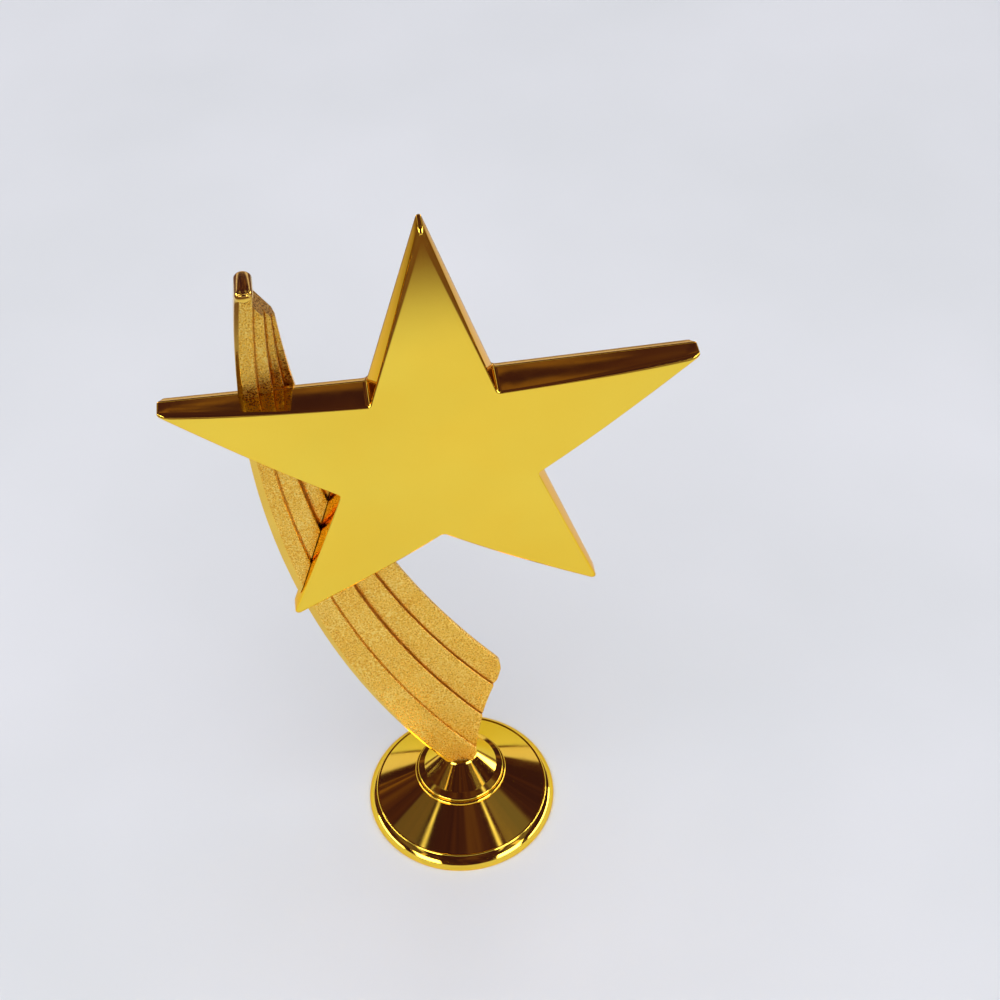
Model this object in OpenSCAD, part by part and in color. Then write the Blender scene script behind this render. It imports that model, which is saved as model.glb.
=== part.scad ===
// Star trophy: a domed five-pointed star carried on a swept tail of four stepped bands,
// over a weighted round foot. X is to the right, Y to the back and Z up. The origin is the
// middle of the foot's underside.

/* [Star] */
// Height of the star's middle above the table
star_z = 136; // [125:0.5:150]
// Sideways place of the star's middle
star_x = -2; // [-6:0.5:4]
// Distance from the middle to a point, before the point is rounded
star_r = 63.5; // [60:0.5:66]
// Distance from the middle to an inner corner, as a share of the point distance
star_waist = 0.37; // [0.34:0.005:0.4]
// Turn of the star within its own plane, in degrees
star_turn = 0.7; // [-2:0.1:2]
// Place of the highest spot of the domed front
star_front_y = -7; // [-9:0.1:-6]
// Place of the flat back
star_back_y = 3.9; // [3.4:0.1:4.4]
// How far the domed front falls back between the middle and the points
star_dome = 5; // [3:0.1:6]
// Radius of the rounded points
star_tip_r = 0.6; // [0.5:0.1:1.2]
// Wall of the hollow front shell
star_wall = 1.8; // [1.4:0.1:2.2]
// Thickness of the flat back plate
star_plate = 1.8; // [1.4:0.1:2.2]

/* [Tail] */
// Heights of the three levels at which the tail's edges are set
tail_levels = [40, 110, 175]; // [20:1:180]
// Sideways place of the tail's outer edge at the three levels
tail_outer_x = [-16.4, -40.6, -42.3]; // [-46:0.1:-12]
// Widths of the four bands at the lowest level
band_w_low = [10, 10.7, 12.2, 9.5]; // [8:0.1:14]
// Widths of the four bands at the middle level
band_w_mid = [6, 5.4, 4.8, 5]; // [4:0.1:8]
// Widths of the four bands at the top level
band_w_top = [4, 2.3, 1.4, 0.6]; // [0.6:0.1:5]
// Place of each band's face at the neck
band_y_low = [-3.5, -3.2, -2.9, -2.7]; // [-4:0.1:-2]
// Place of each band's face at the fin's top
band_y_top = [1.1, 2.1, 4.6, 6.3]; // [0.5:0.1:7]
// Place of the tail's back at the neck
tail_back_low = 4.4; // [3.8:0.1:5]
// Place of the tail's back at the fin's top
tail_back_top = 8.3; // [7.8:0.1:9]
// Width of the grooves between the bands
groove_w = 0.5; // [0.3:0.1:0.8]
// Depth of the grooves below the lower of their two bands
groove_d = 0.5; // [0.3:0.1:0.8]
// Height of the middle of the rounded end of the first band
fin_top_z = 181.6; // [176:0.2:186]
// Height of the other bands' end, beside the first band
band_top_z = 178.4; // [172:0.2:181]
// Slant of the other bands' end, in degrees
band_top_slant = 56; // [30:1:65]
// Sideways place of the tail's lower end at its bottom, middle and top
tail_end_x = [4, 6.3, 12.6]; // [2:0.1:14]
// Heights of those three places
tail_end_z = [21, 37.5, 55.5]; // [20:0.5:60]

/* [Foot] */
// Diameter of the rim that stands on the table
foot_d = 50.8; // [48:0.2:54]
// Radius of the rim's round section near the table
rim_round_r = 2.3; // [2:0.1:2.4]
// Radius of the rim's flatter section above it
rim_slope_r = 4.5; // [4.3:0.1:4.6]
// Height of the middle of the rim's round section
rim_z = 0.7; // [0.6:0.1:0.8]
// Outer diameter of the collar at the top of the cone
collar_d = 24.6; // [24.2:0.1:25]
// Height of the middle of the collar's bead
collar_z = 11.7; // [11.6:0.1:11.8]
// Wall of the hollow foot
foot_wall = 1.6; // [1.4:0.1:1.8]

/* [Neck] */
// Outer diameter of the ring at the neck's base
neck_ring_d = 23.1; // [22.8:0.1:23.2]
// Radius of that ring's round edge
neck_ring_round_r = 0.5; // [0.4:0.05:0.5]
// Radius of the neck where it leaves its ring
neck_r_low = 9.8; // [9.6:0.1:9.9]
// Radius of the neck under the tail
neck_r_top = 4.4; // [4.3:0.1:5]
// Height of the neck's top
neck_top_z = 19.6; // [19:0.1:20]

/* [Fasteners] */
// Length of the tie screw's shank
tie_length = 22; // [20:1:24]
// Nominal diameter of the tie screw
tie_d = 3; // [2.5, 3]
// Nominal diameter of the star's self-tapping screws
tap_d = 2.9; // [2.5:0.1:3]

/* [Hidden] */

gold = "#d9a93c";
bright_gold = "#e5c53f";
steel = "#8f9296";
brass = "#b8964f";

// Gaps: round one between a shaft and its hole, and side one of a slide-in fit
bore_gap = 0.3;
seat_gap = 0.15;
far = 400;
tail_foot_z = 20;
fin_z = 185;

// Star
corner_r = star_r * star_waist;
corner = [corner_r * sin(36), corner_r * cos(36)];
edge_run = norm([corner[0], star_r - corner[1]]);
edge_distance = star_r * corner[0] / edge_run;
tip_half = atan2(corner[0], star_r - corner[1]);
dome_r = (pow(star_r, 2) + pow(star_dome, 2)) / (2 * star_dome);
plate_y = star_back_y - star_plate;
boss_round_r = 2.8;
tap_head_h = 1.4;
tap_hole_r = tap_d / 2 + bore_gap;
tap_places = [[-38, 147.5], [-25.5, 101]];

// Foot
foot_r = foot_d / 2;
collar_r = collar_d / 2;
collar_bead_r = 0.65;
rim_turn = 23;
rim_top_turn = 62;
rim_bead_r = 0.25;
rim_bead = [foot_r - 2.45, 3.85];
cone_low = [foot_r - 2.6, 3.95];
cone_top = [collar_r - 0.2, 11.2];
seat_r = 10.9;
seat_z = 11;
roof_z = 9.4;
pad_r = 21.7;
pad_h = 1.3;
boss_r = 5.5;
weight_top_z = 6.6;
weight_low_z = 1.7;
weight_low_r = 20.4;
weight_top_r = 15.5;
recess_z = 4.4;
recess_r = 5;
cone_lean = atan2(cone_top[1] - cone_low[1], cone_low[0] - cone_top[0]);
hollow_low_z = 3.3;
washer_h = 0.6;
tie_r = tie_d / 2;
tie_head_z = recess_z - washer_h;
tie_head_r = 2.8;
tie_head_h = 1.9;
washer_r = 3.5;

// Neck
neck_ring_z = 12.75;
neck_ring_slope = 65;
neck_low_z = 13.88;

// Peg of the tail inside the neck
peg_r = 3.2;
peg_z = 13.2;
insert_r = tie_r + 0.6;
insert_h = 7;

// Tail's cored pocket and its cover
thin_edge = 1.2;
pocket_z = [42, 80];
ledge = 1.2;
cover_h = 1.5;
face_skin = 2;

// Radius of the foot's hollow at height z, one wall inside the cone
function hollow_r(z) = cone_low[0] - (z - cone_low[1]) / tan(cone_lean) - foot_wall / sin(cone_lean);

// Point on a circle of radius r about c, where its normal rises at angle a
function round_point(c, r, a) = c + r * [cos(a), sin(a)];

function turned(p, a) = [p[0] * cos(a) - p[1] * sin(a), p[0] * sin(a) + p[1] * cos(a)];

// Outline of a star whose edges lie inset inside the full star's edges, with rounded points
function star_outline(inset, tip) =
    let (s = (edge_distance - inset) / edge_distance)
    let (middle = [0, star_r * s - tip / sin(tip_half)])
    [for (k = [0:4])
        each concat(
            [for (a = [tip_half - 90 : (180 - 2 * tip_half) / 6 : 90.01 - tip_half])
                turned(middle + tip * [sin(a), cos(a)], star_turn - 72 * k)],
            [turned(s * corner, star_turn - 72 * k)])];

// Circle through three points of the X-Z plane, as [x, z, radius]
function circle_through(a, b, c) =
    let (d = 2 * (a[0] * (b[1] - c[1]) + b[0] * (c[1] - a[1]) + c[0] * (a[1] - b[1])))
    let (x = ((a * a) * (b[1] - c[1]) + (b * b) * (c[1] - a[1]) + (c * c) * (a[1] - b[1])) / d)
    let (z = ((a * a) * (c[0] - b[0]) + (b * b) * (a[0] - c[0]) + (c * c) * (b[0] - a[0])) / d)
    [x, z, norm(a - [x, z])];

function sum_to(list, n) = n <= 0 ? 0 : list[n - 1] + sum_to(list, n - 1);

// Edge n of the bands as a circle: 0 is the outer edge and 4 the inner one
function band_edge(n) = circle_through(
    [tail_outer_x[0] + sum_to(band_w_low, n), tail_levels[0]],
    [tail_outer_x[1] + sum_to(band_w_mid, n), tail_levels[1]],
    [tail_outer_x[2] + sum_to(band_w_top, n), tail_levels[2]]);

tail_end = circle_through([tail_end_x[0], tail_end_z[0]], [tail_end_x[1], tail_end_z[1]],
    [tail_end_x[2], tail_end_z[2]]);

function edge_x(n, z) =
    let (e = band_edge(n))
    e[0] - sqrt(pow(e[2], 2) - pow(z - e[1], 2));

// Prism along Y from y0 to y1, over an outline drawn in X and Z
module prism(y0, y1) {
    translate([0, y1, 0])
        rotate([90, 0, 0])
            linear_extrude(height = y1 - y0)
                children();
}

// Round bar along Y, with its middle at x, z
module bar(x, z, r0, r1, y0, y1) {
    translate([x, y1, z])
        rotate([90, 0, 0])
            cylinder(h = y1 - y0, r1 = r1, r2 = r0, $fn = 96);
}

module star_prism(inset, tip, y0, y1) {
    prism(y0, y1)
        translate([star_x, star_z])
            polygon(star_outline(inset, tip));
}

// Ball whose near cap is the domed front, sunk by inset
module dome(inset) {
    translate([star_x, star_front_y + dome_r, star_z])
        sphere(r = dome_r - inset, $fn = 180);
}

module star_front() {
    color(bright_gold)
        difference() {
            intersection() {
                star_prism(0, star_tip_r, star_front_y - 1, plate_y);
                dome(0);
            }
            difference() {
                intersection() {
                    star_prism(star_wall, 0.3, star_front_y - 1, plate_y + 1);
                    dome(star_wall);
                }
                for (p = tap_places)
                    bar(p[0], p[1], boss_round_r, boss_round_r, star_front_y, plate_y + 1);
            }
            for (p = tap_places)
                bar(p[0], p[1], tap_hole_r, tap_hole_r, plate_y - 6, plate_y + 1);
        }
}

module star_back() {
    lip_h = 1.2;
    color(gold)
        difference() {
            union() {
                star_prism(0, star_tip_r, plate_y, star_back_y);
                star_prism(star_wall + seat_gap, 0.3, plate_y - lip_h, plate_y + 0.1);
            }
            star_prism(star_wall * 2, 0.2, plate_y - lip_h - 1, plate_y);
            for (p = tap_places) {
                bar(p[0], p[1], boss_round_r + 0.2, boss_round_r + 0.2, plate_y - lip_h - 1, plate_y);
                bar(p[0], p[1], tap_hole_r, tap_hole_r, plate_y - 1, star_back_y + 1);
            }
        }
}

// Countersunk screws, whose heads lie a little under the tail's back
module star_screws() {
    cross = [3.2, 1.6, 0.6];
    for (p = tap_places)
        color(steel)
            difference() {
                union() {
                    bar(p[0], p[1], tap_d / 2, tap_d / 2, plate_y - 5, tap_head_y(p[1]));
                    bar(p[0], p[1], tap_d / 2, tap_d / 2 + tap_head_h,
                        tap_head_y(p[1]) - tap_head_h, tap_head_y(p[1]));
                }
                for (a = [0, 90])
                    translate([p[0], tap_head_y(p[1]), p[1]])
                        rotate([0, a, 0])
                            cube(cross, center = true);
            }
}

function tail_back_y(z) = tail_back_low
    + (tail_back_top - tail_back_low) * (z - tail_foot_z) / (fin_z - tail_foot_z);

function tap_head_y(z) = tail_back_y(z) - 0.3;

// Half space behind a plane that is at y_low over the neck and at y_top at the fin's top
module behind(y_low, y_top) {
    lean = atan2(y_top - y_low, fin_z - tail_foot_z);
    translate([0, y_low, tail_foot_z])
        rotate([-lean, 0, 0])
            translate([-far / 2, 0, -far / 2])
                cube([far, far, far]);
}

// Wide disc that edge n bounds, grown by grow
module edge_disc(n, grow, h = 40) {
    e = band_edge(n);
    translate([e[0], 0, e[1]])
        rotate([90, 0, 0])
            cylinder(h = h, r = e[2] + grow, center = true, $fn = 360);
}

module band(n) {
    intersection() {
        difference() {
            edge_disc(n, 0);
            edge_disc(n + 1, 0, 50);
        }
        behind(band_y_low[n], band_y_top[n]);
        band_ends(n);
        translate([-60, -20, 0])
            cube([100, 40, 200]);
    }
}

// Block that a band lies in: the first band is longer, and the others end at a slant
module band_ends(n) {
    top_z = n == 0 ? fin_top_z : band_top_z;
    slant = n == 0 ? 0 : band_top_slant;
    translate([n == 0 ? 0 : edge_x(1, top_z), 0, top_z])
        rotate([0, slant, 0])
            translate([-far / 2, -20, -far])
                cube([far, 40, far]);
}

// Round end of the first band
module fin_round() {
    left = edge_x(0, fin_top_z);
    right = edge_x(1, fin_top_z);
    round_r = (right - left) / 2 + 0.05;
    intersection() {
        bar((left + right) / 2, fin_top_z, round_r, round_r, -8, 12);
        behind(band_y_low[0], band_y_top[0]);
    }
}

module groove(n) {
    difference() {
        intersection() {
            edge_disc(n, groove_w / 2);
            translate([-60, -20, tail_foot_z])
                cube([100, 40, fin_top_z - tail_foot_z + 4]);
        }
        edge_disc(n, -groove_w / 2, 50);
        behind(band_y_low[n] + groove_d, band_y_top[n] + groove_d);
    }
}

// Bevel along the inner edge at the back, which leaves that edge thin
module inner_bevel() {
    e = band_edge(4);
    lean = atan2(band_y_top[3] - band_y_low[3], fin_z - tail_foot_z);
    edge_y = band_y_low[3] + thin_edge + (e[1] - tail_foot_z) * tan(lean);
    translate([e[0], edge_y, e[1]])
        rotate([-90 - lean, 0, 0])
            cylinder(h = 14, r1 = e[2], r2 = e[2] + 14, $fn = 360);
}

module tail_body() {
    difference() {
        union() {
            difference() {
                for (n = [0:3])
                    band(n);
                translate([-60, -20, -30])
                    cube([120, 40, tail_foot_z - 0.4 + 30]);
                bar(tail_end[0], tail_end[1], tail_end[2], tail_end[2], -8, 12);
                for (n = [1:3])
                    groove(n);
                inner_bevel();
                translate([tail_end_x[2] - 0.3, -20, 0])
                    cube([100, 40, 100]);
            }
            fin_round();
            translate([0, 0, peg_z])
                cylinder(h = tail_foot_z + 4 - peg_z, r = peg_r, $fn = 64);
        }
        behind(tail_back_low, tail_back_top);
        star_prism(-seat_gap, star_tip_r, -12, star_back_y);
    }
}

// Hollow in the tail's lower part, open to the back, grown on every side by grow
module tail_pocket(grow) {
    intersection() {
        difference() {
            edge_disc(1, grow);
            edge_disc(3, -grow, 50);
            bar(tail_end[0], tail_end[1], tail_end[2] + 3 - grow, tail_end[2] + 3 - grow, -9, 13);
        }
        translate([-60, -8, pocket_z[0] - grow])
            cube([120, 20, pocket_z[1] - pocket_z[0] + 2 * grow]);
    }
}

module tail() {
    color(gold)
        difference() {
            tail_body();
            difference() {
                tail_pocket(0);
                front_skin();
            }
            cover_seat(0);
            translate([0, 0, peg_z - 1])
                cylinder(h = insert_h + 1, r = insert_r + bore_gap / 2, $fn = 48);
            translate([0, 0, peg_z])
                cylinder(h = 14, r = tie_r + bore_gap, $fn = 48);
            for (p = tap_places) {
                bar(p[0], p[1], tap_hole_r, tap_hole_r, star_back_y - 1, 12);
                bar(p[0], p[1], tap_hole_r, tap_hole_r + tap_head_h,
                    tap_head_y(p[1]) - tap_head_h, tap_head_y(p[1]));
                bar(p[0], p[1], tap_hole_r + tap_head_h, tap_hole_r + tap_head_h,
                    tap_head_y(p[1]), 12);
            }
        }
}

// All that lies less than a skin's depth behind the third band's face
module front_skin() {
    difference() {
        translate([-far / 2, -far / 2, -far / 2])
            cube([far, far, far]);
        behind(band_y_low[2] + face_skin, band_y_top[2] + face_skin);
    }
}

module cover_seat(gap) {
    difference() {
        intersection() {
            tail_pocket(ledge - gap);
            behind(tail_back_low - cover_h, tail_back_top - cover_h);
        }
        inner_bevel();
    }
}

module tail_cover() {
    color(gold)
        difference() {
            cover_seat(seat_gap);
            behind(tail_back_low, tail_back_top);
        }
}

module tail_insert() {
    color(brass)
        translate([0, 0, peg_z])
            difference() {
                cylinder(h = insert_h, r = insert_r, $fn = 48);
                translate([0, 0, -1])
                    cylinder(h = insert_h + 2, r = tie_r + bore_gap / 2, $fn = 48);
            }
}

module neck() {
    flange_r = seat_r - seat_gap;
    ring = [neck_ring_d / 2 - neck_ring_round_r, neck_ring_z];
    color(bright_gold)
        difference() {
            rotate_extrude($fn = 180)
                union() {
                    polygon([[0, seat_z], [flange_r, seat_z], [flange_r, neck_ring_z], ring,
                        round_point(ring, neck_ring_round_r, neck_ring_slope),
                        [neck_r_low, neck_low_z], [neck_r_top, neck_top_z], [0, neck_top_z]]);
                    translate(ring)
                        circle(r = neck_ring_round_r, $fn = 48);
                }
            translate([0, 0, peg_z - 0.2])
                cylinder(h = 10, r = peg_r + seat_gap, $fn = 64);
            translate([0, 0, seat_z - 1])
                cylinder(h = 10, r = tie_r + bore_gap, $fn = 48);
        }
}

module foot() {
    low = [foot_r - rim_round_r, rim_z];
    slope = round_point(low, rim_round_r - rim_slope_r, rim_turn);
    color(bright_gold)
        difference() {
            rotate_extrude($fn = 180)
                union() {
                    polygon(concat([[0, 0], [foot_r, 0], [foot_r, rim_z]],
                        [for (a = [2 : 3 : rim_turn]) round_point(low, rim_round_r, a)],
                        [for (a = [rim_turn : 3 : rim_top_turn]) round_point(slope, rim_slope_r, a)],
                        [rim_bead, cone_low, cone_top, [collar_r - collar_bead_r, collar_z],
                        [0, collar_z]]));
                    translate(rim_bead)
                        circle(r = rim_bead_r, $fn = 24);
                    translate([collar_r - collar_bead_r, collar_z])
                        circle(r = collar_bead_r, $fn = 48);
                }
            rotate_extrude($fn = 180)
                polygon([[0, -1], [pad_r + seat_gap, -1], [pad_r + seat_gap, pad_h],
                    [hollow_r(hollow_low_z), pad_h], [hollow_r(hollow_low_z), hollow_low_z],
                    [hollow_r(roof_z), roof_z], [boss_r, roof_z], [boss_r, weight_top_z],
                    [0, weight_top_z]]);
            translate([0, 0, seat_z])
                cylinder(h = 5, r = seat_r, $fn = 96);
            cylinder(h = 20, r = tie_r + bore_gap, $fn = 48);
        }
}

// Cast weight, clamped against the foot's boss, with a recess for the screw head and washer
module foot_weight() {
    color(steel)
        rotate_extrude($fn = 120)
            polygon([[tie_r + bore_gap, recess_z], [recess_r, recess_z], [recess_r, weight_low_z],
                [weight_low_r, weight_low_z], [weight_low_r, hollow_low_z],
                [weight_top_r, weight_top_z], [tie_r + bore_gap, weight_top_z]]);
}

module tie_screw() {
    slot_w = 0.7;
    slot_l = 3.6;
    color(steel)
        translate([0, 0, tie_head_z])
            difference() {
                union() {
                    cylinder(h = tie_length, r = tie_r, $fn = 48);
                    translate([0, 0, -tie_head_h])
                        cylinder(h = tie_head_h, r = tie_head_r, $fn = 48);
                }
                for (a = [0, 90])
                    rotate([0, 0, a])
                        translate([-slot_l / 2, -slot_w / 2, -tie_head_h - 1])
                            cube([slot_l, slot_w, 2]);
            }
}

module tie_washer() {
    color(steel)
        translate([0, 0, tie_head_z])
            difference() {
                cylinder(h = washer_h, r = washer_r, $fn = 48);
                translate([0, 0, -1])
                    cylinder(h = washer_h + 2, r = tie_r + 0.2, $fn = 48);
            }
}

module foot_pad() {
    color("#3a3a3c")
        cylinder(h = pad_h, r = pad_r, $fn = 96);
}

star_front();
star_back();
star_screws();
tail();
tail_cover();
tail_insert();
neck();
foot();
foot_weight();
tie_screw();
tie_washer();
foot_pad();
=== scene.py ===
import math

import bmesh
import bpy
from mathutils import Matrix, Vector


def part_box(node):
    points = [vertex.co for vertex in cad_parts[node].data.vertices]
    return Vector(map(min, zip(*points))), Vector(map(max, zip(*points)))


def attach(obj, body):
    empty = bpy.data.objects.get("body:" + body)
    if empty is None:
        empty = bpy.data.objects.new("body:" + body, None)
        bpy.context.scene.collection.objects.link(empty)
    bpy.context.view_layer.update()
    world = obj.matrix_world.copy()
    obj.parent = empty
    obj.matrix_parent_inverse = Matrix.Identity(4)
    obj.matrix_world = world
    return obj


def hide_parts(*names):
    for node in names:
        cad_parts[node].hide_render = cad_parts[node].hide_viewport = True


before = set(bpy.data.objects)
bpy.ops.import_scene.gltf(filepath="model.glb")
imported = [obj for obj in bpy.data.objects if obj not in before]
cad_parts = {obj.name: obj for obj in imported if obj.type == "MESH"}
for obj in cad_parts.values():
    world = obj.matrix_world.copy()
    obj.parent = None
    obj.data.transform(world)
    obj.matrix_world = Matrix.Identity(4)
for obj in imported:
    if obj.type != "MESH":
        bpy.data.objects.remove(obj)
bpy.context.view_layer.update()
mm = 0.001  # lengths in the dictionaries are millimetres
joinWithin = 0.004 * mm  # points nearer than this become one


def linearColour(code):
    parts = [int(code[i:i + 2], 16) / 255 for i in (1, 3, 5)]
    return [c / 12.92 if c <= 0.04045 else ((c + 0.055) / 1.055) ** 2.4 for c in parts] + [1.0]


def addNode(tree, kind, settings=None, inputs=None):
    node = tree.nodes.new(kind)
    for name, value in (settings or {}).items():
        setattr(node, name, value)
    for name, value in (inputs or {}).items():
        socket = node.inputs[name]
        if isinstance(value, bpy.types.NodeSocket):
            tree.links.new(value, socket)
        else:
            socket.default_value = value
    return node


def startMaterial(name):
    material = bpy.data.materials.new(name)
    material.use_nodes = True
    material.node_tree.nodes.clear()
    return material, material.node_tree


def closeMaterial(tree, surface):
    addNode(tree, "ShaderNodeOutputMaterial", inputs={"Surface": surface})


def setRamp(node, stops):
    ramp = node.color_ramp
    while len(ramp.elements) < len(stops):
        ramp.elements.new(0.5)
    for element, (place, colour) in zip(ramp.elements, stops):
        element.position = place
        element.color = colour


def meshObject(name, verts, faces, faceSlots=None, materials=()):
    mesh = bpy.data.meshes.new(name)
    mesh.from_pydata([Vector(v) * mm for v in verts], [], faces)
    for material in materials:
        mesh.materials.append(material)
    if faceSlots:
        mesh.polygons.foreach_set("material_index", faceSlots)
    mesh.validate()
    piece = bpy.data.objects.new(name, mesh)
    bpy.context.scene.collection.objects.link(piece)
    return piece


def weld(piece, distance=0.002):
    # closes seams and poles, then turns every face outwards
    work = bmesh.new()
    work.from_mesh(piece.data)
    bmesh.ops.remove_doubles(work, verts=work.verts, dist=distance * mm)
    bmesh.ops.dissolve_degenerate(work, edges=work.edges, dist=distance * mm / 4)
    bmesh.ops.recalc_face_normals(work, faces=work.faces)
    work.to_mesh(piece.data)
    work.free()


def smoothShade(piece, angle=32):
    piece.data.polygons.foreach_set("use_smooth", [True] * len(piece.data.polygons))
    piece.data.set_sharp_from_angle(angle=math.radians(angle))


def applyModifiers(piece):
    bpy.context.view_layer.update()
    evaluated = piece.evaluated_get(bpy.context.evaluated_depsgraph_get())
    made = bpy.data.meshes.new_from_object(evaluated)
    old = piece.data
    piece.modifiers.clear()
    if piece.type == "MESH":
        piece.data = made
        bpy.data.meshes.remove(old)
    return made


def combine(piece, tool, operation):
    step = piece.modifiers.new(operation.lower(), "BOOLEAN")
    step.operation = operation
    step.solver = "EXACT"
    step.object = tool
    applyModifiers(piece)
    bpy.data.objects.remove(tool)


def place(piece, node, slot):
    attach(piece, "root")
    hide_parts(node)


def arc(x, z, radius, start, end, steps):
    turns = [math.radians(start + (end - start) * i / steps) for i in range(steps + 1)]
    return [(x + radius * math.cos(a), z + radius * math.sin(a)) for a in turns]


def smoothStep(low, high, value):
    t = min(max((value - low) / (high - low), 0), 1)
    return t * t * (3 - 2 * t)


def goldLacquer():
    # ABS, moulded, vacuum-metallised and lacquered gold: a clear mirror with faint orange peel and haze
    material, tree = startMaterial("vacuumGoldLacquer")
    place3d = addNode(tree, "ShaderNodeTexCoord").outputs["Object"]
    tone = addNode(tree, "ShaderNodeTexNoise", inputs={
        "Vector": place3d, "Scale": 1 / (22 * mm), "Detail": 2.0, "Roughness": 0.5})
    colour = addNode(tree, "ShaderNodeValToRGB", inputs={"Fac": tone.outputs["Fac"]})
    setRamp(colour, [(0.3, linearColour("#ffd746")), (0.7, linearColour("#ffdc4c"))])
    haze = addNode(tree, "ShaderNodeTexNoise", inputs={
        "Vector": place3d, "Scale": 1 / (5 * mm), "Detail": 4.0, "Roughness": 0.6})
    rough = addNode(tree, "ShaderNodeMapRange", inputs={
        "Value": haze.outputs["Fac"], "From Min": 0.3, "From Max": 0.75, "To Min": 0.05, "To Max": 0.11})
    peel = addNode(tree, "ShaderNodeTexNoise", inputs={
        "Vector": place3d, "Scale": 1 / (1.6 * mm), "Detail": 1.0, "Roughness": 0.4})
    bump = addNode(tree, "ShaderNodeBump", inputs={
        "Height": peel.outputs["Fac"], "Strength": 0.06, "Distance": 0.02 * mm})
    shader = addNode(tree, "ShaderNodeBsdfPrincipled", inputs={
        "Base Color": colour.outputs["Color"], "Metallic": 1.0, "Roughness": rough.outputs["Result"],
        "Normal": bump.outputs["Normal"], "Specular Tint": linearColour("#ffd690"),
        "Coat Weight": 0.1, "Coat Roughness": 0.04})
    closeMaterial(tree, shader.outputs["BSDF"])
    return material


def grainedGold():
    # the same plated ABS over a spark-eroded mould face: a sandy glitter in satin gold
    material, tree = startMaterial("grainedSatinGold")
    place3d = addNode(tree, "ShaderNodeTexCoord").outputs["Object"]
    grain = addNode(tree, "ShaderNodeTexNoise", inputs={
        "Vector": place3d, "Scale": 1 / (0.42 * mm), "Detail": 2.0, "Roughness": 0.7})
    pits = addNode(tree, "ShaderNodeTexVoronoi", inputs={
        "Vector": place3d, "Scale": 1 / (0.5 * mm), "Randomness": 1.0})
    height = addNode(tree, "ShaderNodeMath", {"operation": "MULTIPLY_ADD"}, {
        0: pits.outputs["Distance"], 1: 0.6, 2: grain.outputs["Fac"]})
    tone = addNode(tree, "ShaderNodeTexNoise", inputs={
        "Vector": place3d, "Scale": 1 / (12 * mm), "Detail": 2.0, "Roughness": 0.5})
    mixed = addNode(tree, "ShaderNodeMath", {"operation": "MULTIPLY_ADD"}, {
        0: tone.outputs["Fac"], 1: 0.2, 2: grain.outputs["Fac"]})
    colour = addNode(tree, "ShaderNodeValToRGB", inputs={"Fac": mixed.outputs["Value"]})
    setRamp(colour, [(0.45, linearColour("#e0a238")), (0.6, linearColour("#f7c348")),
                     (0.75, linearColour("#ffe27c"))])
    rough = addNode(tree, "ShaderNodeMapRange", inputs={
        "Value": grain.outputs["Fac"], "From Min": 0.35, "From Max": 0.65, "To Min": 0.2, "To Max": 0.42})
    bump = addNode(tree, "ShaderNodeBump", inputs={
        "Height": height.outputs["Value"], "Strength": 0.6, "Distance": 0.15 * mm})
    shader = addNode(tree, "ShaderNodeBsdfPrincipled", inputs={
        "Base Color": colour.outputs["Color"], "Metallic": 1.0, "Roughness": rough.outputs["Result"],
        "Normal": bump.outputs["Normal"]})
    closeMaterial(tree, shader.outputs["BSDF"])
    return material


def satinGold(name, lowRough, highRough):
    # plated ABS from a stoned mould face: soft reflections with a fine drawn haze
    material, tree = startMaterial(name)
    place3d = addNode(tree, "ShaderNodeTexCoord").outputs["Object"]
    drawn = addNode(tree, "ShaderNodeMapping", inputs={"Vector": place3d, "Scale": (1.0, 1.0, 0.12)})
    lines = addNode(tree, "ShaderNodeTexNoise", inputs={
        "Vector": drawn.outputs["Vector"], "Scale": 1 / (0.5 * mm), "Detail": 3.0, "Roughness": 0.6})
    tone = addNode(tree, "ShaderNodeTexNoise", inputs={
        "Vector": place3d, "Scale": 1 / (14 * mm), "Detail": 3.0, "Roughness": 0.5})
    colour = addNode(tree, "ShaderNodeValToRGB", inputs={"Fac": tone.outputs["Fac"]})
    setRamp(colour, [(0.3, linearColour("#efc24a")), (0.7, linearColour("#f9d05a"))])
    rough = addNode(tree, "ShaderNodeMapRange", inputs={
        "Value": lines.outputs["Fac"], "From Min": 0.3, "From Max": 0.7,
        "To Min": lowRough, "To Max": highRough})
    bump = addNode(tree, "ShaderNodeBump", inputs={
        "Height": lines.outputs["Fac"], "Strength": 0.06, "Distance": 0.02 * mm})
    shader = addNode(tree, "ShaderNodeBsdfPrincipled", inputs={
        "Base Color": colour.outputs["Color"], "Metallic": 1.0, "Roughness": rough.outputs["Result"],
        "Normal": bump.outputs["Normal"]})
    closeMaterial(tree, shader.outputs["BSDF"])
    return material


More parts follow.
